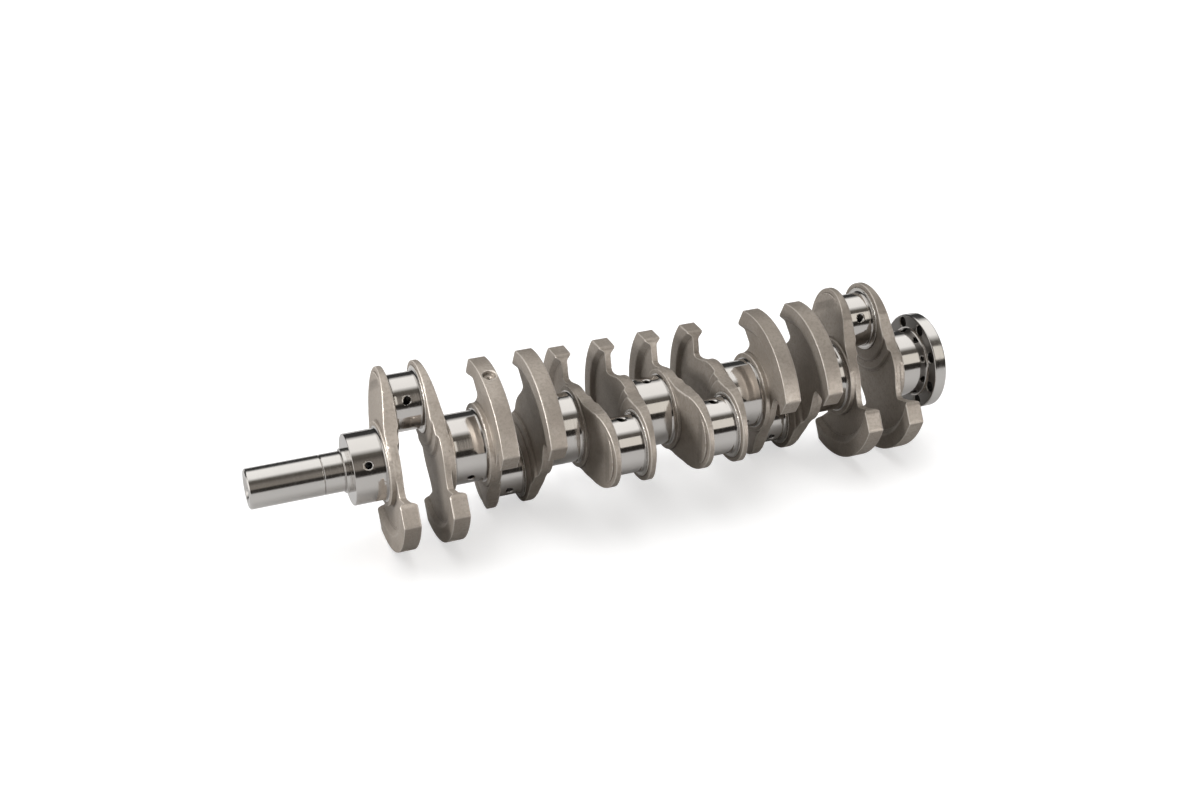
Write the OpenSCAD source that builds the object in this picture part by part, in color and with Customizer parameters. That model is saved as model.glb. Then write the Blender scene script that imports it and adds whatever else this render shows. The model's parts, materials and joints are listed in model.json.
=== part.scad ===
// Crankshaft of a straight-six engine with seven main bearings and a counterweight on every web.
// X runs along the crank axis from the snout to the flywheel flange, and Z is up as the shaft lies
// on a bench. The origin is on the crank axis, at the middle of the centre main journal.
// The shaft is built from its machined sections, which meet face to face.

/* [Layout] */
// Distance between neighbouring cylinders
cylinder_pitch = 91; // [88:0.5:100]
// Distance from the crank axis to a crankpin's axis, half the stroke
throw_radius = 50.6; // [44:0.1:54]
// Direction of the first throw as the shaft lies, counted from +Y towards +Z
rest_angle = 58.7; // [0:0.1:360]

/* [Journals] */
// Diameter of the main journals
main_d = 65; // [58:0.5:70]
// Width of a main journal between its webs
main_w = 31; // [28:0.5:33]
// Diameter of the crankpins
pin_d = 53; // [48:0.5:56]
// Width of a crankpin between its webs
pin_w = 26.5; // [22:0.5:28]
// Radius of the rolled fillet at the ends of a journal
fillet_r = 2.5; // [1:0.1:3]

/* [Snout and flange] */
// Distance from the middle of the first main journal to the nose face in front of it
nose_reach = 13.8; // [13:0.1:16]
// Distance from the middle of the last main journal to the flange behind it
flange_reach = 13.5; // [13:0.1:16]
// Diameter of the snout that carries the crank pulley
snout_d = 36.4; // [30:0.1:40]
// Length of the snout in front of the nose face
snout_l = 89.5; // [60:0.5:110]
// Diameter of the hole for the pulley bolt
bolt_bore_d = 18; // [14:0.5:20]
// Depth of the hole for the pulley bolt
bolt_bore_l = 48; // [30:1:60]
// Diameter of the flywheel flange
flange_d = 94; // [88:0.5:110]
// Thickness of the flywheel flange
flange_t = 12.5; // [10:0.5:16]
// Diameter of the circle of flywheel bolts
bolt_circle_d = 79; // [74:0.5:82]
// Number of flywheel bolts
bolt_count = 8; // [4:1:8]
// Diameter of a flywheel bolt's hole
bolt_hole_d = 10.8; // [8:0.1:12]
// Turn of the bolt circle about the crank axis
bolt_turn = 15; // [0:0.5:45]
// Diameter of the pilot recess in the flange's rear face
pilot_d = 32; // [20:0.5:40]
// Depth of the pilot recess
pilot_l = 10; // [6:0.5:11]

/* [Webs] */
// Radius of a web's end around its crankpin
pin_end_r = 35.5; // [32:0.5:38]
// Radius of a web's raised pad around its crankpin
pin_pad_r = 31; // [29:0.5:32]
// Radius of a web's boss around the crank axis
boss_r = 38.5; // [36:0.5:42]
// Depth by which a web's arm stands back from its boss on the main side
arm_step = 2.1; // [1:0.1:4]
// Half the width of a web's neck between boss and counterweight
neck_half_w = 32; // [28:0.5:36]
// Half the width of a counterweight between its flanks
weight_half_w = 54.5; // [50:0.5:58]
// Thickness left at the tip of a web, where its main side is bevelled
tip_t = 5; // [3:0.5:10]
// Radius of the counterweights
weight_r = 81; // [76:0.5:84]
// Distance from the crankpin's axis to where the tip's bevel starts
bevel_start = 22; // [10:0.5:30]
// Depth of the connecting rod's clearance, milled into a web's pin side
rod_clearance = 5.5; // [3:0.5:6]
// Radius of the clearance's sloped wall around the crank axis, at its floor
rod_wall_r = 62.5; // [58:0.5:68]
// Radius of the sloped step around the crankpin, at the clearance's floor
pin_step_r = 54; // [48:0.5:58]
// Depth of the round recess in a counterweight's main side
recess_depth = 5.2; // [3:0.1:5.5]
// Radius of that recess around the crank axis, at its floor
recess_r = 61; // [50:0.5:66]

/* [Oil and balance] */
// Diameter of the oil drillings
oil_d = 6; // [4:0.5:7]
// Diameter of the balance drillings in the counterweights
balance_d = 12; // [8:0.5:13]
// Depth of the balance drillings
balance_l = 4; // [2:0.5:12]

/* [Hidden] */
$fn = 96;
polished = [0.80, 0.79, 0.77];
satin = [0.58, 0.56, 0.53];
// Enough for two solids or cuts to overlap cleanly.
eps = 0.05;
// Larger than a web in every direction, for blocks that only cut.
clear = 100;

// Throws 1 and 6, 2 and 5, and 3 and 4 point the same way, a third of a turn apart.
throw_turn = [0, -120, 120, 120, -120, 0];
// The side of each throw on which its oil holes open, +1 or -1 across the throw.
oil_side = [-1, 1, 1, 1, 1, -1];
// Each web with a balance drilling, and the drilling's turn from the counterweight's middle.
balance_turns = [[1, -8], [2, -8], [3, -16]];

web_t = (cylinder_pitch - main_w - pin_w) / 2;
nose_x = -3 * cylinder_pitch - nose_reach;
flange_x = 3 * cylinder_pitch + flange_reach;

// Depths across a web, from its middle plane: the main side is negative and the pin side positive.
main_face = -web_t / 2;
pin_face = web_t / 2;
arm_main_face = main_face + arm_step;
plate_pin_face = pin_face - 1;
recess_floor = main_face + recess_depth;
rod_floor = pin_face - rod_clearance;

function main_x(j) = (j - 4) * cylinder_pitch;
function pin_x(k) = (k - 3.5) * cylinder_pitch;
function throw_of(web) = ceil(web / 2);
function leads(web) = web % 2 == 1;

// Extrudes an outline, drawn across and up, along the crank axis.
module along_x(from_x, to_x) {
    translate([from_x, 0, 0]) rotate([90, 0, 90]) linear_extrude(to_x - from_x) children();
}

// A disc or a cone around the crank axis.
module round_x(from_x, to_x, r1, r2 = 0) {
    translate([from_x, 0, 0]) rotate([0, 90, 0])
        cylinder(h = to_x - from_x, r1 = r1, r2 = r2 > 0 ? r2 : r1);
}

// Turns what is drawn with its throw pointing up to the direction of throw k.
module at_throw(k) {
    rotate([rest_angle + throw_turn[k - 1] - 90, 0, 0]) children();
}

// A rod of diameter d between two points.
module from_to(a, b, d) {
    v = b - a;
    length = norm(v);
    translate(a) rotate([0, acos(v.z / length), atan2(v.y, v.x)]) cylinder(h = length, d = d);
}

// Outline of the fillet at a journal's end, which is at the height end.
module fillet_outline(r, end) {
    difference() {
        translate([r - 1, end - fillet_r]) square([fillet_r + 1, fillet_r]);
        translate([r + fillet_r, end - fillet_r]) circle(r = fillet_r);
    }
}

// A journal that reaches by front towards the snout and by rear towards the flange.
module journal(d, front, rear, front_fillet = true) {
    rotate([0, 90, 0]) rotate_extrude() {
        translate([0, -front]) square([d / 2, front + rear]);
        fillet_outline(d / 2, rear);
        if (front_fillet) mirror([0, 1]) fillet_outline(d / 2, front);
    }
}

// The oil way of throw k: a straight drilling from the open side of the crankpin through the web
// to the far side of the main journal in front of it, and a drilling straight across that journal.
module oil_way(k) {
    side = oil_side[k - 1];
    reach = 1.2;
    on_pin = [pin_x(k), side * pin_d / 2, throw_radius];
    on_main = [main_x(k), -side * main_d / 2, 0];
    along = (on_pin - on_main) / norm(on_pin - on_main);
    at_throw(k) {
        from_to(on_main - 4 * along, on_pin + 4 * along, oil_d);
        translate([main_x(k), 0, 0]) rotate([90, 0, 0])
            cylinder(h = main_d + 2, d = oil_d, center = true);
        // Chamfered mouths
        for (mouth = [[main_x(k), main_d / 2, 0], [main_x(k), -main_d / 2, 0], on_pin])
            translate(mouth) rotate([mouth.y > 0 ? -90 : 90, 0, 0]) translate([0, 0, -reach])
                cylinder(h = 2 * reach, d1 = oil_d - 0.5, d2 = oil_d + 4 * reach);
    }
}

module main_journal(j) {
    front = j == 1 ? nose_reach : main_w / 2;
    rear = j == 7 ? flange_reach : main_w / 2;
    color(polished) difference() {
        translate([main_x(j), 0, 0]) journal(main_d, front, rear, front_fillet = j > 1);
        if (j < 7) oil_way(j);
    }
}

module crankpin(k) {
    color(polished) difference() {
        at_throw(k) translate([pin_x(k), 0, throw_radius]) journal(pin_d, pin_w / 2, pin_w / 2);
        oil_way(k);
    }
}

// The web's plate around pin and crank axis, down to the counterweight.
module arm_outline() {
    neck_l = 45;
    translate([0, throw_radius]) circle(r = pin_end_r);
    translate([-pin_end_r, 0]) square([2 * pin_end_r, throw_radius]);
    circle(r = boss_r);
    translate([-neck_half_w, -neck_l]) square([2 * neck_half_w, neck_l]);
}

// The counterweight: round below, with a sloping shoulder and a straight flank on each side.
module weight_outline() {
    top = -28;
    shoulder = [[neck_half_w - 1, top], [43, -36], [weight_half_w - 2, -40]];
    flank = [[weight_half_w, -45], [weight_half_w, -weight_r]];
    half = concat([[-eps, top]], shoulder, flank, [[-eps, -weight_r]]);
    intersection() {
        circle(r = weight_r);
        for (side = [0, 1]) mirror([side, 0]) polygon(half);
    }
}

// The pin side is milled back around the crank axis, up to a sloped wall in the counterweight,
// and leaves a sloped step around the crankpin.
module rod_pocket() {
    wall = rod_clearance + 1;
    difference() {
        round_x(rod_floor, rod_floor + wall, rod_wall_r, rod_wall_r + wall);
        translate([0, 0, throw_radius])
            round_x(rod_floor - eps, rod_floor + wall, pin_step_r, pin_step_r - wall);
    }
}

// A round recess in the counterweight's main side, with a sloped wall.
module main_pocket() {
    difference() {
        round_x(main_face - eps, recess_floor, recess_r + recess_depth + eps, recess_r);
        translate([main_face - 1, -clear, 0]) cube([web_t, 2 * clear, clear]);
    }
}

// The main side slopes away towards the tip of the web.
module tip_bevel() {
    start = throw_radius - bevel_start;
    tip = throw_radius + pin_end_r;
    slope = atan2(plate_pin_face - tip_t - arm_main_face, tip - start);
    translate([arm_main_face, 0, start]) rotate([0, slope, 0])
        translate([-clear, -clear, 0]) cube([clear, 2 * clear, clear]);
}

// A web with its throw pointing up, its middle plane at X = 0 and its main journal at -X.
module web_body() {
    difference() {
        union() {
            along_x(arm_main_face, plate_pin_face) arm_outline();
            along_x(main_face, plate_pin_face) weight_outline();
        }
        rod_pocket();
        main_pocket();
        tip_bevel();
    }
    // Thrust pads against the main journal and the crankpin
    round_x(main_face, recess_floor + eps, boss_r);
    translate([0, 0, throw_radius]) round_x(plate_pin_face - eps, pin_face, pin_pad_r);
}

// A drilling into the rim of a counterweight whose throw points up.
module balance_drilling(turn) {
    rotate([turn, 0, 0]) translate([0, 0, -weight_r - 1]) cylinder(h = balance_l + 1, d = balance_d);
}

module web(n) {
    k = throw_of(n);
    middle = (main_w + web_t) / 2;
    x = leads(n) ? main_x(k) + middle : main_x(k + 1) - middle;
    color(satin) difference() {
        translate([x, 0, 0]) at_throw(k) mirror([leads(n) ? 0 : 1, 0, 0]) web_body();
        if (leads(n)) oil_way(k);
        for (b = balance_turns)
            if (b[0] == n) translate([x, 0, 0]) at_throw(k) balance_drilling(b[1]);
    }
}

module snout() {
    chamfer = 1.5;
    collar_w = 5;
    collar_d = snout_d + 4;
    mouth_d = bolt_bore_d + 5;
    color(polished) translate([nose_x - snout_l, 0, 0]) rotate([0, 90, 0]) difference() {
        rotate_extrude() polygon([
            [0, 0], [snout_d / 2 - chamfer, 0], [snout_d / 2, chamfer],
            [snout_d / 2, snout_l - collar_w], [collar_d / 2, snout_l - collar_w],
            [collar_d / 2, snout_l], [0, snout_l],
        ]);
        translate([0, 0, -eps]) cylinder(h = bolt_bore_l, d = bolt_bore_d);
        translate([0, 0, bolt_bore_l - 2 * eps])
            cylinder(h = bolt_bore_d * 0.3, d1 = bolt_bore_d, d2 = 0);
        translate([0, 0, -eps]) cylinder(h = 2.5, d1 = mouth_d, d2 = bolt_bore_d);
    }
}

module rear_flange() {
    chamfer = 0.8;
    color(polished) translate([flange_x, 0, 0]) rotate([0, 90, 0]) difference() {
        rotate_extrude() polygon([
            [0, 0], [flange_d / 2 - chamfer, 0], [flange_d / 2, chamfer],
            [flange_d / 2, flange_t - chamfer], [flange_d / 2 - chamfer, flange_t], [0, flange_t],
        ]);
        for (i = [0 : bolt_count - 1]) rotate([0, 0, i * 360 / bolt_count + bolt_turn])
            translate([bolt_circle_d / 2, 0, -1]) cylinder(h = flange_t + 2, d = bolt_hole_d);
        translate([0, 0, flange_t - pilot_l]) cylinder(h = pilot_l + 1, d = pilot_d);
    }
}

snout();
for (j = [1 : 7]) main_journal(j);
for (k = [1 : 6]) crankpin(k);
for (n = [1 : 12]) web(n);
rear_flange();
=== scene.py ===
"""Looks of a straight-six crankshaft: shot-peened forged webs with rounded edges and milled pockets, and
ground and polished journals, snout and flange, on a pale studio floor. Everything is in metres in the
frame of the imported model, except the pieces' own shape functions, which work in millimetres.

A shape function gives the distance from each point to a piece's surface, negative inside the metal. Its
x runs along the crank axis, v from the crank axis towards the crankpin of a throw, and u across them."""

import json
import math
from collections import namedtuple

import bpy
import numpy as np
import openvdb
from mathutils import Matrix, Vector

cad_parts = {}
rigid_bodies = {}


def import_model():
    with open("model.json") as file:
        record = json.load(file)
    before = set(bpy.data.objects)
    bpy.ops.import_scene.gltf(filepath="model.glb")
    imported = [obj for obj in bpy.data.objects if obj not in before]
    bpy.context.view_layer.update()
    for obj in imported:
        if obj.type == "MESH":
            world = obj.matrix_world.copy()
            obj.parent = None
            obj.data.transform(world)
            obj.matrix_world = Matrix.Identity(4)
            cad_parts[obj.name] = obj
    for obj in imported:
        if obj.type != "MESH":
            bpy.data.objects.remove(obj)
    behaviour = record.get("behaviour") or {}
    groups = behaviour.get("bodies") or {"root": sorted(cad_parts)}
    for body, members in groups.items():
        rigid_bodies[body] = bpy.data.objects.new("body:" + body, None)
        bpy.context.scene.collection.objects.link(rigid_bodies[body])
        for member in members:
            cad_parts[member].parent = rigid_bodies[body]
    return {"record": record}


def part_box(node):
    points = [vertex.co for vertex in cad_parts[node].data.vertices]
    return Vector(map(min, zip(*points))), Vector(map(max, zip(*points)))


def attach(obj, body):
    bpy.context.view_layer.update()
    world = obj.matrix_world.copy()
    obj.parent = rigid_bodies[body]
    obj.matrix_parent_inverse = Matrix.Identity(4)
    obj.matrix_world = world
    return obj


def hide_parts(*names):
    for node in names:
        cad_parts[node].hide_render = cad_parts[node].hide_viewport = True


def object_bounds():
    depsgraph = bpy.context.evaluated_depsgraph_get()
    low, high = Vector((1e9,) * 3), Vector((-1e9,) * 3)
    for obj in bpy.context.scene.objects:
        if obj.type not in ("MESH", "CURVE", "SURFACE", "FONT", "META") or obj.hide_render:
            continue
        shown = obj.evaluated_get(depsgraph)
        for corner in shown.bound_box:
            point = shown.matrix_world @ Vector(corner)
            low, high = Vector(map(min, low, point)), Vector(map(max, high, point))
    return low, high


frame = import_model()
cad_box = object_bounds()
MM = 0.001
MOUNTS = {m["name"]: m for m in frame["record"]["mounts"]}

MAIN_R = MOUNTS["main_journal_4"]["dims"]["r_mm"]
PIN_R = MOUNTS["crankpin_1"]["dims"]["r_mm"]
SNOUT_R = MOUNTS["pulley_seat"]["dims"]["r_mm"]
FLANGE_R = MOUNTS["rear_seal_land"]["dims"]["r_mm"]
THROWS = 6
WEBS, MAINS = 2 * THROWS, THROWS + 1
MIDDLE_MAIN = (MAINS + 1) // 2
THROW = math.hypot(*MOUNTS["crankpin_1"]["pos_m"][1:]) / MM
PITCH = (MOUNTS["crankpin_2"]["pos_m"][0] - MOUNTS["crankpin_1"]["pos_m"][0]) / MM
FILLET_R = 2.5
OIL_R = 3.0
# Side of each throw on which its oil way leaves the crankpin
OIL_SIDE = (-1, 1, 1, 1, 1, -1)
# Turn of the balance drilling from the counterweight's middle, for the webs that have one
BALANCE_TURN = {1: -8, 2: -8, 3: -16}
BALANCE_R, BALANCE_DEPTH = 6.0, 4.0
# How far a piece runs on inside its neighbour, where both are one forging
SINK = 0.4
# Lean of an ordinary chamfer around a hole
CHAMFER_LEAN = 0.8


# ---------------------------------------------------------------- camera

VIEW_AZIMUTH, VIEW_ELEVATION = math.radians(-21.46), math.radians(28.76)
VIEW_DISTANCE = 1.4754
VIEW_TARGET = Vector((-0.0429, 0.0098, 0.0165))
LENS, SENSOR = 47.38, 36.0


def make_camera():
    ahead = Vector((
        -math.sin(VIEW_AZIMUTH) * math.cos(VIEW_ELEVATION),
        math.cos(VIEW_AZIMUTH) * math.cos(VIEW_ELEVATION),
        -math.sin(VIEW_ELEVATION),
    ))
    data = bpy.data.cameras.new("camera")
    data.lens, data.sensor_width = LENS, SENSOR
    camera = bpy.data.objects.new("camera", data)
    camera.location = VIEW_TARGET - VIEW_DISTANCE * ahead
    camera.rotation_euler = ahead.to_track_quat("-Z", "Y").to_euler()
    bpy.context.scene.collection.objects.link(camera)
    bpy.context.scene.camera = camera


# ---------------------------------------------------------------- building blocks of the shape functions

def cut_round(a, b, radius):
    """Where both a and b are inside, with the edge between them rounded."""
    corner = np.hypot(np.maximum(a + radius, 0), np.maximum(b + radius, 0))
    return np.minimum(np.maximum(a, b), -radius) + corner


def join_round(a, b, radius):
    """Where a or b is inside, with a fillet in the corner between them."""
    return -cut_round(-a, -b, radius)


def bevel(a, b, width):
    """The slope that takes a corner between a and b off at 45 degrees."""
    return (a + b + width) * math.sqrt(0.5)


def drill(solid, hole, edge=0.3):
    """The solid without the hole, with the hole's edge broken."""
    return cut_round(solid, -hole, edge)


def disc(u, v, centre_v, radius):
    return np.hypot(u, v - centre_v) - radius


def box(u, v, half_u, low_v, high_v):
    du = np.abs(u) - half_u
    dv = np.maximum(low_v - v, v - high_v)
    return np.minimum(np.maximum(du, dv), 0) + np.hypot(np.maximum(du, 0), np.maximum(dv, 0))


def slab(x, low, high):
    return np.maximum(low - x, x - high)


def cone(rho, x, foot_x, foot_r, lean):
    """Distance to a round wall that leans outwards from foot_r at foot_x, negative inside it."""
    return (rho - foot_r) * math.cos(lean) - (x - foot_x) * math.sin(lean)


def rod(x, u, v, start, along, radius):
    """A round rod of endless length through start."""
    offset = (x - start[0], u - start[1], v - start[2])
    depth = sum(o * a for o, a in zip(offset, along))
    return np.sqrt(np.maximum(sum(o * o for o in offset) - depth ** 2, 0)) - radius


# ---------------------------------------------------------------- shape of a web

class Web:
    """A web. Its main journal is on its negative x side and its crankpin on its positive x side."""

    half_t = (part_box("web_1")[1].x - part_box("web_1")[0].x) / 2 / MM
    weight_r = -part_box("web_1")[0].z / MM
    pin_end_r, pin_pad_r, boss_r = 35.5, 31.0, 38.5
    neck, neck_end, flank = 32.0, -45.0, 54.5
    tip_t, bevel_length = 5.0, 22.0
    # A point on the shoulder between neck and flank, and the shoulder's slope
    shoulder_u, shoulder_v, shoulder_lean = 43.0, -36.5, 0.22
    # Faces and floors across the thickness
    arm_face = -half_t + 2.1
    recess_floor = -half_t + 5.2
    pin_face = half_t - 1.0
    terrace = half_t - 2.9
    rod_floor = half_t - 5.5
    # Radii at the feet of the milled walls, and the walls' lean
    rod_wall_r, low_step_r, high_step_r, recess_r = 62.5, 53.0, 43.0, 61.0
    wall_lean = 0.80
    # Radii of edges and of the fillets in corners
    face_edge, rim_edge, shoulder_edge, step_edge = 0.7, 0.8, 4.0, 0.5
    cheek_fillet, boss_fillet, neck_fillet, weight_fillet = 1.0, 4.0, 5.0, 2.5
    floor_fillet, step_fillet = 1.0, 0.8
    main_pad_edge, main_pad_fillet = 0.5, 1.2
    pin_pad_edge, pin_pad_fillet = 0.4, 0.6
    balance_chamfer, balance_edge = 0.7, 0.4
    # Depth to which the pad against the crankpin is ground
    ground_depth = 0.2
    # Corners of the space that the shape fills
    low = np.array([-half_t, -flank, -weight_r])
    high = np.array([half_t, flank, THROW + pin_end_r])

    def __init__(self, balance_turn=None):
        self.balance_turn = balance_turn

    def outline(self, x, u, v):
        """The plate around crankpin and crank axis, and the counterweight."""
        rho, side = np.hypot(u, v), np.abs(u)
        cheek = box(u, v, self.pin_end_r, 0, THROW)
        plate = join_round(disc(u, v, THROW, self.pin_end_r), cheek, self.cheek_fillet)
        plate = join_round(plate, rho - self.boss_r, self.boss_fillet)
        plate = join_round(plate, box(u, v, self.neck, self.neck_end, 0), self.neck_fillet)
        plate = cut_round(plate, slab(x, self.arm_face, self.pin_face), self.face_edge)
        shoulder = ((v - self.shoulder_v) * math.cos(self.shoulder_lean)
                    + (side - self.shoulder_u) * math.sin(self.shoulder_lean))
        weight = cut_round(rho - self.weight_r, side - self.flank, self.rim_edge)
        weight = cut_round(weight, shoulder, self.shoulder_edge)
        weight = cut_round(weight, slab(x, -self.half_t, self.pin_face), self.face_edge)
        return join_round(plate, weight, self.weight_fillet)

    def rod_clearance(self, x, u, v):
        """The space milled into the pin side for the connecting rod."""
        rho_pin = np.hypot(u, v - THROW)
        wall = cone(np.hypot(u, v), x, self.rod_floor, self.rod_wall_r, self.wall_lean)
        space = cut_round(self.rod_floor - x, wall, self.floor_fillet)
        low_step = cone(rho_pin, x, self.rod_floor, self.low_step_r, -self.wall_lean)
        low_step = cut_round(low_step, x - self.terrace, self.step_edge)
        high_step = cone(rho_pin, x, self.terrace, self.high_step_r, -self.wall_lean)
        steps = join_round(low_step, high_step, self.step_fillet)
        return cut_round(space, -steps, self.floor_fillet)

    def main_recess(self, x, u, v):
        """The recess around the main journal's boss in the counterweight."""
        wall = cone(np.hypot(u, v), -x, -self.recess_floor, self.recess_r, self.wall_lean)
        return np.maximum(cut_round(x - self.recess_floor, wall, self.floor_fillet), v)

    def tip_bevel(self, x, v):
        """The slope that thins the web towards its pin end, on the main journal's side."""
        start, tip = THROW - self.bevel_length, THROW + self.pin_end_r
        lean = math.atan2(self.pin_face - self.tip_t - self.arm_face, tip - start)
        return (self.arm_face - x) * math.cos(lean) + (v - start) * math.sin(lean)

    def balance_drilling(self, x, u, v):
        turn = math.radians(self.balance_turn)
        outward = (0, math.sin(turn), -math.cos(turn))
        height = u * outward[1] + v * outward[2] - self.weight_r
        across = rod(x, u, v, (0, 0, 0), outward, 0)
        hole = cut_round(across - BALANCE_R, -BALANCE_DEPTH - height, self.floor_fillet)
        mouth = cone(across, height, 0, BALANCE_R + self.balance_chamfer, CHAMFER_LEAN)
        return np.minimum(hole, mouth)

    def field(self, x, u, v):
        solid = self.outline(x, u, v)
        solid = drill(solid, self.rod_clearance(x, u, v), self.face_edge)
        solid = drill(solid, self.main_recess(x, u, v), self.face_edge)
        solid = cut_round(solid, self.tip_bevel(x, v), self.rim_edge)
        main_pad = cut_round(np.hypot(u, v) - self.boss_r, slab(x, -self.half_t, 0), self.main_pad_edge)
        solid = join_round(solid, main_pad, self.main_pad_fillet)
        pin_pad = cut_round(disc(u, v, THROW, self.pin_pad_r), slab(x, 0, self.half_t), self.pin_pad_edge)
        solid = join_round(solid, pin_pad, self.pin_pad_fillet)
        if self.balance_turn is not None:
            solid = drill(solid, self.balance_drilling(x, u, v), self.balance_edge)
        return solid

    def ground(self, x, u, v):
        """Where the pad against the crankpin is ground bright."""
        return x > self.half_t - self.ground_depth


# ---------------------------------------------------------------- shapes of the turned pieces

class Journal:
    """A main journal or crankpin, centred on x = 0, v = centre_v. A fillet leads up to the web at its rear
    and to the one at its front, if it has a front wall. Side is where its oil ways leave the crankpin."""

    front_edge = 0.9
    # How far the fillets run out past their own radius
    run_out = 0.1
    mouth_chamfer, mouth_lean = 1.1, 0.83
    # Depth to which the finish reaches into a drilling or past the front; deeper in, the drilling is
    # rougher and painted dark as shade
    ground_depth = 1.0

    def __init__(self, node, middle, radius, centre_v, side, front_wall=True):
        low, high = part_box(node)
        self.front, self.rear = (middle - low.x) / MM, (high.x - middle) / MM
        self.radius, self.centre_v, self.side, self.front_wall = radius, centre_v, side, front_wall
        reach = radius + FILLET_R
        self.low = np.array([-self.front - SINK, -reach, centre_v - reach])
        self.high = np.array([self.rear + SINK, reach, centre_v + reach])

    def oil_ways(self, x, u, v):
        """The drillings, with a chamfer where they come out."""
        if not self.side:
            return []
        on_pin = np.array([PITCH / 2, self.side * PIN_R, THROW])
        on_main = np.array([0, -self.side * MAIN_R, 0])
        along = (on_pin - on_main) / np.linalg.norm(on_pin - on_main)
        if self.centre_v:
            mouths = [self.side]
            holes = [np.maximum(rod(x, u, v, on_pin - [PITCH / 2, 0, 0], along, OIL_R),
                                -self.side * u)]
        else:
            mouths = [1, -1]
            holes = [rod(x, u, v, (0, 0, 0), (0, 1, 0), OIL_R),
                     np.maximum(rod(x, u, v, on_main, along, OIL_R), self.side * u)]
        width = np.hypot(x, v - self.centre_v)
        mouth_r = OIL_R + self.mouth_chamfer
        return holes + [cone(width, way * u - self.radius, 0, mouth_r, self.mouth_lean) for way in mouths]

    def field(self, x, u, v):
        rho = np.hypot(u, v - self.centre_v)
        solid = join_round(rho - self.radius, self.rear - x, FILLET_R)
        if self.front_wall:
            solid = join_round(solid, x + self.front, FILLET_R)
            solid = np.maximum(solid, -self.front - SINK - x)
        else:
            solid = cut_round(solid, -self.front - x, self.front_edge)
        solid = np.maximum(solid, x - self.rear - SINK)
        solid = np.maximum(solid, rho - self.radius - FILLET_R - self.run_out)
        for hole in self.oil_ways(x, u, v):
            solid = drill(solid, hole)
        return solid

    def ground(self, x, u, v):
        """Everywhere but inside the drillings."""
        rho = np.hypot(u, v - self.centre_v)
        return (rho > self.radius - self.ground_depth) | (x < self.ground_depth - self.front)


class Snout:
    """The snout, from its tip at x = 0 to the nose face."""

    length = (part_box("snout")[1].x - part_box("snout")[0].x) / MM
    collar_r = (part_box("snout")[1].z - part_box("snout")[0].z) / 2 / MM
    collar_w, collar_edge, collar_fillet = 5.0, 0.6, 1.5
    tip_bevel, tip_edge = 1.5, 0.3
    # A fine line turned around the snout, cut by a round tool that stands a little off the surface
    line_x, line_tool_r, line_tool_rise, line_edge = 66.0, 0.75, 0.3, 0.15
    bolt_r = MOUNTS["pulley_bolt_hole"]["dims"]["r_mm"]
    bolt_depth = 48.0
    mouth_chamfer, mouth_lean = 3.2, 0.95
    # The finish starts this far outside the bolt hole, and covers the tip's mouth to this depth; inside
    # that, the bolt hole is rougher and painted dark as shade
    ground_gap, ground_depth = 0.2, 1.0
    low = np.array([0, -collar_r, -collar_r])
    high = np.array([length + SINK, collar_r, collar_r])

    def field(self, x, u, v):
        rho = np.hypot(u, v)
        solid = cut_round(rho - SNOUT_R, -x, self.tip_edge)
        solid = cut_round(solid, bevel(rho - SNOUT_R, -x, self.tip_bevel), self.tip_edge)
        collar = cut_round(rho - self.collar_r, self.length - self.collar_w - x, self.collar_edge)
        solid = join_round(solid, collar, self.collar_fillet)
        solid = np.maximum(solid, x - self.length - SINK)
        line = np.hypot(x - self.line_x, rho - SNOUT_R - self.line_tool_rise) - self.line_tool_r
        solid = drill(solid, line, self.line_edge)
        hole = np.maximum(rho - self.bolt_r, x - self.bolt_depth)
        mouth = cone(rho, -x, 0, self.bolt_r + self.mouth_chamfer, self.mouth_lean)
        return drill(solid, np.minimum(hole, mouth))

    def ground(self, x, u, v):
        """Everywhere but inside the bolt hole."""
        return (np.hypot(u, v) > self.bolt_r + self.ground_gap) | (x < self.ground_depth)


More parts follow.
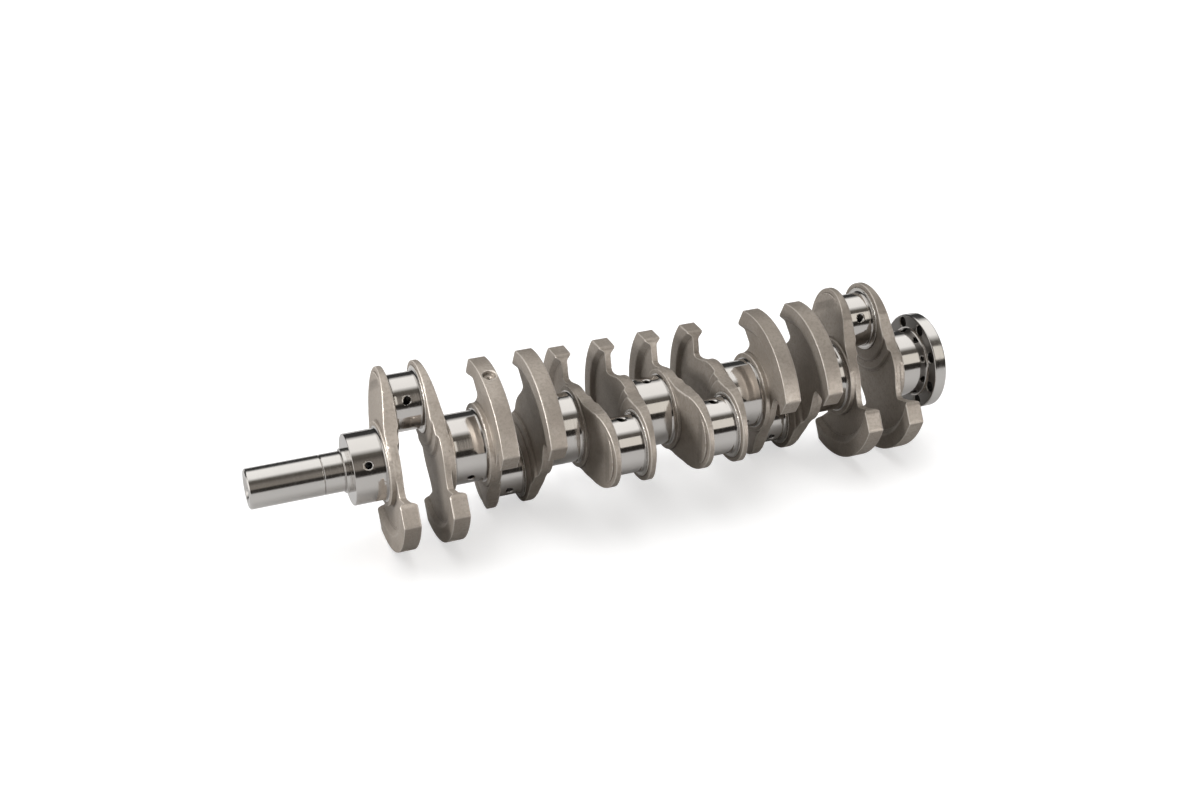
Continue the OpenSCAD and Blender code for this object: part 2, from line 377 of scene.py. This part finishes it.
class Flange:
    """The flange, from its front face at x = 0, with v up."""

    thickness = (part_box("rear_flange")[1].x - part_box("rear_flange")[0].x) / MM
    bolts = MOUNTS["flywheel_bolts"]["dims"]
    pilot = MOUNTS["pilot_recess"]["dims"]
    bolt_turn = math.radians(15)
    rim_edge, rim_bevel, bevel_edge = 0.4, 0.9, 0.3
    hole_chamfer, recess_chamfer, mouth_edge, recess_fillet = 0.6, 0.8, 0.2, 0.5
    # How much of the ground look the front face keeps (the rest of it is rougher and painted shade), to
    # what depth that reaches, and how deep the holes' rims are ground
    front_finish, front_depth, ground_depth = 0.25, 0.1, 1.0
    low = np.array([0, -FLANGE_R, -FLANGE_R])
    high = np.array([thickness, FLANGE_R, FLANGE_R])

    def depth(self, x):
        """Distance to the nearer of the two faces, negative between them."""
        return np.abs(x - self.thickness / 2) - self.thickness / 2

    def field(self, x, u, v):
        rho, depth = np.hypot(u, v), self.depth(x)
        solid = cut_round(rho - FLANGE_R, depth, self.rim_edge)
        solid = cut_round(solid, bevel(rho - FLANGE_R, depth, self.rim_bevel), self.bevel_edge)
        step = 2 * math.pi / self.bolts["count"]
        angle = np.mod(np.arctan2(v, u) - self.bolt_turn + step / 2, step) - step / 2
        across, around = rho * np.cos(angle) - self.bolts["pcd_mm"] / 2, rho * np.sin(angle)
        width, hole_r = np.hypot(across, around), self.bolts["hole_r_mm"]
        mouth = cone(width, depth, 0, hole_r + self.hole_chamfer, CHAMFER_LEAN)
        solid = drill(solid, np.minimum(width - hole_r, mouth), self.mouth_edge)
        seat = self.thickness - self.pilot["length_mm"]
        recess = cut_round(rho - self.pilot["r_mm"], seat - x, self.recess_fillet)
        mouth = cone(rho, x, self.thickness, self.pilot["r_mm"] + self.recess_chamfer, CHAMFER_LEAN)
        return drill(solid, np.minimum(recess, mouth), self.mouth_edge)

    def ground(self, x, u, v):
        """Nothing inside the bolt holes, which are painted in shade, and a front face that is duller and
        mostly painted in shade.
        """
        beside_holes = np.abs(np.hypot(u, v) - self.bolts["pcd_mm"] / 2) > self.bolts["hole_r_mm"]
        finished = (self.depth(x) > -self.ground_depth) | beside_holes
        return np.where(x < self.front_depth, self.front_finish, finished)


# ---------------------------------------------------------------- from shape function to mesh

Surface = namedtuple("Surface", "points normals edge ground triangles quads")

# Cell sizes in millimetres
VOXEL, END_VOXEL = 0.6, 0.5
# Cells on each side of the surface that know their distance to it
BAND = 3
# How far cells may be merged where the surface is nearly flat
FLATTEN = 0.02
# Rounds of moving the corners onto the exact surface, and the least slope that they reckon with
ROUNDS, LEAST_SLOPE = 3, 0.25
# Largest value that a mesh carries for its material
VALUE_LIMIT = 2.0


def slope(field, points, step=0.05):
    """Gradient of a shape function."""
    gradient = np.empty_like(points)
    for i in range(3):
        shift = np.zeros(3)
        shift[i] = step
        gradient[:, i] = (field(*(points + shift).T) - field(*(points - shift).T)) / (2 * step)
    return gradient


def bend(field, points, step=0.5):
    """Sum of the surface's bends both ways, in 1/mm: positive on an edge, negative in a corner."""
    total = -6 * field(*points.T)
    for i in range(3):
        shift = np.zeros(3)
        shift[i] = step
        total += field(*(points + shift).T) + field(*(points - shift).T)
    return total / step ** 2


def make_surface(shape, voxel):
    """The shape's surface, with exact normals, in millimetres."""
    margin = BAND * voxel
    low = shape.low - margin
    count = np.ceil((shape.high + margin - low) / voxel).astype(int) + 1
    axes = [low[i] + voxel * np.arange(count[i]) for i in range(3)]
    values = shape.field(*np.meshgrid(*axes, indexing="ij")).astype(np.float32)
    grid = openvdb.FloatGrid(background=margin)
    grid.gridClass = openvdb.GridClass.LEVEL_SET
    grid.copyFromArray(np.clip(values, -margin, margin), tolerance=0.0)
    points, triangles, quads = grid.convertToPolygons(isovalue=0.0, adaptivity=FLATTEN)
    points = low + voxel * points.astype(float)
    for _ in range(ROUNDS):
        gradient = slope(shape.field, points)
        distance = shape.field(*points.T)
        shift = gradient * (distance / np.maximum((gradient ** 2).sum(1), LEAST_SLOPE))[:, None]
        points -= np.clip(shift, -voxel, voxel)
    points = np.clip(points, shape.low, shape.high)
    normals = slope(shape.field, points)
    normals /= np.maximum(np.linalg.norm(normals, axis=1), 1e-6)[:, None]
    return Surface(points, normals, bend(shape.field, points), shape.ground(*points.T), triangles, quads)


def throw_turn(throw):
    """Directions in the frame of a throw's own x, u and v axes."""
    pin = MOUNTS[f"crankpin_{throw}"]["pos_m"]
    towards_pin = Vector((0, pin[1], pin[2])).normalized()
    along = Vector((1, 0, 0))
    return np.array([along, towards_pin.cross(along), towards_pin])


def add_piece(node, surface, turn, origin_x, material):
    """Puts a finished piece in the place of a CAD node."""
    vertices = surface.points @ turn * MM + np.array([origin_x, 0, 0])
    sizes = np.repeat([3, 4], [len(surface.triangles), len(surface.quads)]).astype(np.int32)
    order = slice(None, None, 1 if np.linalg.det(turn) < 0 else -1)
    corners = np.concatenate([surface.triangles[:, order].ravel(), surface.quads[:, order].ravel()])
    mesh = bpy.data.meshes.new(node + "_finished")
    mesh.vertices.add(len(vertices))
    mesh.vertices.foreach_set("co", vertices.ravel())
    mesh.loops.add(len(corners))
    mesh.loops.foreach_set("vertex_index", corners.astype(np.int32))
    mesh.polygons.add(len(sizes))
    mesh.polygons.foreach_set("loop_start", np.concatenate([[0], np.cumsum(sizes)[:-1]]).astype(np.int32))
    mesh.update(calc_edges=True)
    for name, values in (("edge", surface.edge), ("ground", surface.ground)):
        attribute = mesh.attributes.new(name, "FLOAT", "POINT")
        attribute.data.foreach_set("value", np.clip(values, -VALUE_LIMIT, VALUE_LIMIT).astype(np.float32))
    mesh.shade_smooth()
    mesh.normals_split_custom_set_from_vertices(surface.normals @ turn)
    mesh.materials.append(material)
    piece = bpy.data.objects.new(node + "_finished", mesh)
    bpy.context.scene.collection.objects.link(piece)
    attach(piece, "root")
    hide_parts(node)


# ---------------------------------------------------------------- materials

class Nodes:
    """A node tree and the few kinds of node that the metals and the studio are made with."""

    def __init__(self, tree):
        self.tree = tree

    def add(self, kind, **inputs):
        node = self.tree.nodes.new(kind)
        for name, value in inputs.items():
            self.feed(node, name.replace("_", " "), value)
        return node

    def feed(self, node, name, value):
        if isinstance(value, bpy.types.NodeSocket):
            self.tree.links.new(value, node.inputs[name])
        else:
            node.inputs[name].default_value = value

    def calculate(self, operation, first, second=0.0):
        node = self.add("ShaderNodeMath")
        node.operation = operation
        self.feed(node, 0, first)
        self.feed(node, 1, second)
        return node.outputs["Value"]

    def ramp(self, value, from_low, from_high, low, high):
        """The value from one range, carried over smoothly to another."""
        node = self.add("ShaderNodeMapRange", Value=value)
        node.interpolation_type = "SMOOTHSTEP"
        limits = {"From Min": from_low, "From Max": from_high, "To Min": low, "To Max": high}
        for name, number in limits.items():
            node.inputs[name].default_value = number
        return node.outputs["Result"]

    def mix(self, factor, first, second):
        node = self.add("ShaderNodeMix")
        node.data_type = "RGBA"
        self.feed(node, "Factor", factor)
        for name, colour in (("A", first), ("B", second)):
            self.feed(node, name, (*colour, 1) if isinstance(colour, tuple) else colour)
        return node.outputs["Result"]


class Material(Nodes):
    """A Principled material."""

    def __init__(self, name, metallic=1.0):
        self.data = bpy.data.materials.new(name)
        self.data.use_nodes = True
        super().__init__(self.data.node_tree)
        self.shader = self.tree.nodes["Principled BSDF"]
        self.shader.inputs["Metallic"].default_value = metallic
        self.place = self.add("ShaderNodeTexCoord").outputs["Object"]

    def noise(self, scale, detail, stretch=(1, 1, 1)):
        place = self.add("ShaderNodeMapping", Vector=self.place, Scale=stretch).outputs["Vector"]
        return self.add("ShaderNodeTexNoise", Vector=place, Scale=scale, Detail=detail).outputs["Fac"]

    def attribute(self, name):
        node = self.add("ShaderNodeAttribute")
        node.attribute_name = name
        return node.outputs["Fac"]

    def bump(self, height, strength, distance):
        node = self.add("ShaderNodeBump", Height=height, Strength=strength, Distance=distance)
        return node.outputs["Normal"]

    def finish(self, colour, roughness, normal):
        for name, value in (("Base Color", colour), ("Roughness", roughness), ("Normal", normal)):
            self.tree.links.new(value, self.shader.inputs[name])
        return self.data


# Colours of the forged webs and of ground and turned steel. The crease, fillet and drilling colours are
# painted shade, and the worn edge colour is partly wear and partly a painted highlight.
PEENED, PEENED_PALE = (0.300, 0.264, 0.228), (0.365, 0.326, 0.286)
SPECKLE, CREASE_SHADE = (0.250, 0.218, 0.187), (0.10, 0.085, 0.07)
WORN_EDGE_AND_HIGHLIGHT, GROUND_PAD = (0.66, 0.62, 0.57), (0.62, 0.60, 0.57)
GROUND, TURNED = (0.70, 0.675, 0.65), (0.72, 0.70, 0.675)
FILLET_SHADE, DRILLING_SHADE = (0.22, 0.20, 0.18), (0.07, 0.065, 0.06)


def make_peened_steel():
    """Shot-peened forging: warm grey, with bright edges that are partly wear and partly a painted
    highlight, painted shade in the creases, and ground pads.
    """
    metal = Material("peened_steel", metallic=0.8)
    cloud = metal.ramp(metal.noise(scale=26, detail=5), 0.35, 0.65, 0, 1)
    grain = metal.noise(scale=1000, detail=3)
    speckle = metal.ramp(metal.noise(scale=380, detail=4), 0.40, 0.70, 0, 0.55)
    colour = metal.mix(cloud, PEENED, PEENED_PALE)
    colour = metal.mix(speckle, colour, SPECKLE)
    edge = metal.attribute("edge")
    # Convex edges lighter: partly wear, partly a painted highlight
    colour = metal.mix(metal.ramp(edge, 0.45, 1.4, 0, 0.45), colour, WORN_EDGE_AND_HIGHLIGHT)
    # Concave creases darker: painted shade
    colour = metal.mix(metal.ramp(edge, -0.8, -0.2, 0.6, 0), colour, CREASE_SHADE)
    pad = metal.attribute("ground")
    colour = metal.mix(pad, colour, GROUND_PAD)
    roughness = metal.ramp(grain, 0.3, 0.7, 0.50, 0.64)
    smooth = metal.add("ShaderNodeMix", Factor=pad, A=roughness, B=0.24)
    normal = metal.bump(grain, strength=0.6, distance=0.00025)
    return metal.finish(colour, smooth.outputs["Result"], normal)


def make_ground_steel(name, tone, rough, line_scale):
    """Ground or turned steel, with fine lines around the axis, painted shade in the fillets, and drillings
    that are duller and painted dark as shade.
    """
    metal = Material(name)
    lines = metal.noise(line_scale, detail=2, stretch=(30, 1, 1))
    cloud = metal.noise(scale=24, detail=3)
    darker = tuple(0.92 * c for c in tone)
    colour = metal.mix(cloud, darker, tone)
    corner = metal.ramp(metal.attribute("edge"), -0.42, -0.2, 0.55, 0)
    colour = metal.mix(corner, colour, FILLET_SHADE)
    outside = metal.attribute("ground")
    # Inside the drillings, and on most of the flange's front face, the colour is painted shade
    colour = metal.mix(outside, DRILLING_SHADE, colour)
    roughness = metal.ramp(lines, 0.3, 0.7, rough - 0.04, rough + 0.05)
    dull = metal.add("ShaderNodeMix", Factor=outside, A=0.5, B=roughness)
    normal = metal.bump(lines, strength=0.06, distance=0.0001)
    return metal.finish(colour, dull.outputs["Result"], normal)


# ---------------------------------------------------------------- floor and light

FLOOR_HALF = 12.0
FLOOR_LOOK = (("Base Color", (0.60, 0.60, 0.605, 1)), ("Roughness", 0.9),
              ("Specular IOR Level", 0.1), ("Emission Color", (1, 1, 1, 1)))
FLOOR_GLOW = 0.60


def make_floor():
    low, half = cad_box[0][2], FLOOR_HALF
    mesh = bpy.data.meshes.new("floor")
    mesh.from_pydata([(-half, -half, low), (half, -half, low), (half, half, low), (-half, half, low)],
                     [], [(0, 1, 2, 3)])
    floor = bpy.data.objects.new("floor", mesh)
    bpy.context.scene.collection.objects.link(floor)
    plain = Material("floor", metallic=0.0)
    for name, value in FLOOR_LOOK:
        plain.shader.inputs[name].default_value = value
    # The floor looks a little whiter than the metal sees it.
    seen = plain.add("ShaderNodeLightPath").outputs["Is Camera Ray"]
    glow = plain.ramp(seen, 0, 1, 0.0, FLOOR_GLOW)
    plain.tree.links.new(glow, plain.shader.inputs["Emission Strength"])
    mesh.materials.append(plain.data)


# The studio around the shaft, as brightness by height: degrees up from the far horizon, over the top and
# down to the horizon behind the camera. A wide soft box hangs overhead, and the room behind is dim.
STUDIO = (
    (0, (0.05, 0.05, 0.05)), (32, (0.05, 0.05, 0.05)), (48, (1.20, 1.19, 1.17)),
    (96, (1.12, 1.11, 1.09)), (112, (0.13, 0.12, 0.105)), (124, (0.10, 0.09, 0.08)),
    (136, (0.22, 0.20, 0.18)), (154, (0.26, 0.235, 0.21)), (162, (0.03, 0.027, 0.024)),
    (176, (0.03, 0.027, 0.024)), (180, (0.30, 0.29, 0.28)),
)
BESIDE = (0.03, 0.028, 0.025)
LEFT_PANEL = (1.2, 1.18, 1.15)
FRONT_PANEL = (0.92, 0.88, 0.81)
# A direction's place along the shaft goes from -1 at the left to 1 at the right, and its height from 0 to
# 1 over half a turn. These give where each part of the studio begins and where it is in full.
BESIDE_FROM, BESIDE_FULL = 0.60, 0.85
LEFT_PANEL_FULL, LEFT_PANEL_FROM = -0.92, -0.72
# The front panel's low and high limit and the softness of its border, by height and along the shaft
FRONT_PANEL_HEIGHT, FRONT_PANEL_ALONG = (0.690, 0.885, 0.012), (0.24, 0.62, 0.05)
WHITE = (1.0, 1.0, 1.0)


def make_studio():
    """Soft box overhead, dim sides, and a pale panel at the left and one behind the camera."""
    world = bpy.data.worlds.new("world")
    world.use_nodes = True
    room = Nodes(world.node_tree)
    place = room.add("ShaderNodeTexCoord").outputs["Generated"]
    split = room.add("ShaderNodeSeparateXYZ", Vector=place)
    along = split.outputs["X"]
    angle = room.calculate("ARCTAN2", split.outputs["Z"], split.outputs["Y"])
    height = room.calculate("DIVIDE", angle, math.pi)
    studio = room.add("ShaderNodeValToRGB", Fac=height)
    elements = studio.color_ramp.elements
    while len(elements) < len(STUDIO):
        elements.new(1.0)
    for element, (degrees, colour) in zip(elements, STUDIO):
        element.position = degrees / 180
        element.color = (*colour, 1)
    wide = room.ramp(room.calculate("ABSOLUTE", along), BESIDE_FROM, BESIDE_FULL, 1, 0)
    colour = room.mix(wide, BESIDE, studio.outputs["Color"])
    left = room.ramp(along, LEFT_PANEL_FULL, LEFT_PANEL_FROM, 1, 0)
    colour = room.mix(left, colour, LEFT_PANEL)
    front = 1.0
    for value, (low, high, soft) in ((height, FRONT_PANEL_HEIGHT), (along, FRONT_PANEL_ALONG)):
        front = room.calculate("MULTIPLY", room.ramp(value, low, low + soft, 0, 1), front)
        front = room.calculate("MULTIPLY", room.ramp(value, high - soft, high, 1, 0), front)
    colour = room.mix(front, colour, FRONT_PANEL)
    # The camera itself sees plain white beyond the floor.
    seen = room.add("ShaderNodeLightPath").outputs["Is Camera Ray"]
    colour = room.mix(seen, colour, WHITE)
    room.tree.links.new(colour, room.tree.nodes["Background"].inputs["Color"])
    bpy.context.scene.world = world
    bpy.context.scene.view_settings.view_transform = "Standard"


OVERHEAD_STRENGTH, OVERHEAD_SPREAD = 1.5, math.radians(70)
OVERHEAD_AIM = (0.15, -0.25, -1.0)


def aim(lamp, direction):
    lamp.rotation_euler = Vector(direction).to_track_quat("-Z", "Y").to_euler()


def make_overhead_lamp():
    """A broad lamp that lights the floor under the shaft and doesn't show in the metal."""
    data = bpy.data.lights.new("overhead", "SUN")
    data.energy, data.angle = OVERHEAD_STRENGTH, OVERHEAD_SPREAD
    lamp = bpy.data.objects.new("overhead", data)
    aim(lamp, OVERHEAD_AIM)
    lamp.visible_glossy = False
    bpy.context.scene.collection.objects.link(lamp)


# Lamps for the webs alone: name, place, target, size and strength. The first weakens towards the flange,
# and the second lights the rims that face the front.
WEB_LAMPS = (
    ("beside_snout", (-0.64, -0.19, 0.36), (-0.2, 0, 0), 0.22, 6.5),
    ("in_front", (0.55, -0.95, 0.12), (0.1, 0, 0), 0.50, 6.0),
)


def make_web_lamps():
    """Adds the lamps for the webs, once the webs are there."""
    lit = bpy.data.collections.new("lit_webs")
    for number in range(1, WEBS + 1):
        lit.objects.link(bpy.data.objects[f"web_{number}_finished"])
    for name, place, target, size, strength in WEB_LAMPS:
        data = bpy.data.lights.new(name, "AREA")
        data.shape, data.size, data.energy = "DISK", size, strength
        lamp = bpy.data.objects.new(name, data)
        lamp.location = place
        aim(lamp, Vector(target) - Vector(place))
        lamp.visible_camera = False
        lamp.light_linking.receiver_collection = lit
        bpy.context.scene.collection.objects.link(lamp)


# ---------------------------------------------------------------- the crankshaft

def build_webs(material):
    """The twelve webs. The second web of each throw is the mirror image of the first."""
    surfaces = {}
    for number in range(1, WEBS + 1):
        turn = throw_turn((number + 1) // 2)
        if number % 2 == 0:
            turn[0] = -turn[0]
        balance = BALANCE_TURN.get(number)
        if balance not in surfaces:
            surfaces[balance] = make_surface(Web(balance), VOXEL)
        low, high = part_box(f"web_{number}")
        add_piece(f"web_{number}", surfaces[balance], turn, (low.x + high.x) / 2, material)


def build_journals(material):
    """The seven main journals and six crankpins. Those that are alike share one surface."""
    surfaces = {}
    for number in range(1, MAINS + 1):
        node = f"main_journal_{number}"
        side = OIL_SIDE[number - 1] if number < MAINS else 0
        kind = (number in (1, MAINS), side)
        middle = (number - MIDDLE_MAIN) * PITCH * MM
        if kind not in surfaces:
            journal = Journal(node, middle, MAIN_R, 0, side, front_wall=number > 1)
            surfaces[kind] = make_surface(journal, VOXEL)
        turn = throw_turn(min(number, THROWS))
        add_piece(node, surfaces[kind], turn, middle, material)
    for number in range(1, THROWS + 1):
        node = f"crankpin_{number}"
        side = OIL_SIDE[number - 1]
        middle = MOUNTS[node]["pos_m"][0]
        if ("pin", side) not in surfaces:
            surfaces["pin", side] = make_surface(Journal(node, middle, PIN_R, THROW, side), VOXEL)
        add_piece(node, surfaces["pin", side], throw_turn(number), middle, material)


def build_ends(material):
    upright = np.eye(3)
    for node, shape in (("snout", Snout()), ("rear_flange", Flange())):
        surface = make_surface(shape, END_VOXEL)
        add_piece(node, surface, upright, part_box(node)[0].x, material)


make_camera()
make_studio()
make_overhead_lamp()
make_floor()
build_webs(make_peened_steel())
build_journals(make_ground_steel("ground_steel", GROUND, rough=0.09, line_scale=50))
build_ends(make_ground_steel("turned_steel", TURNED, rough=0.14, line_scale=40))
make_web_lamps()
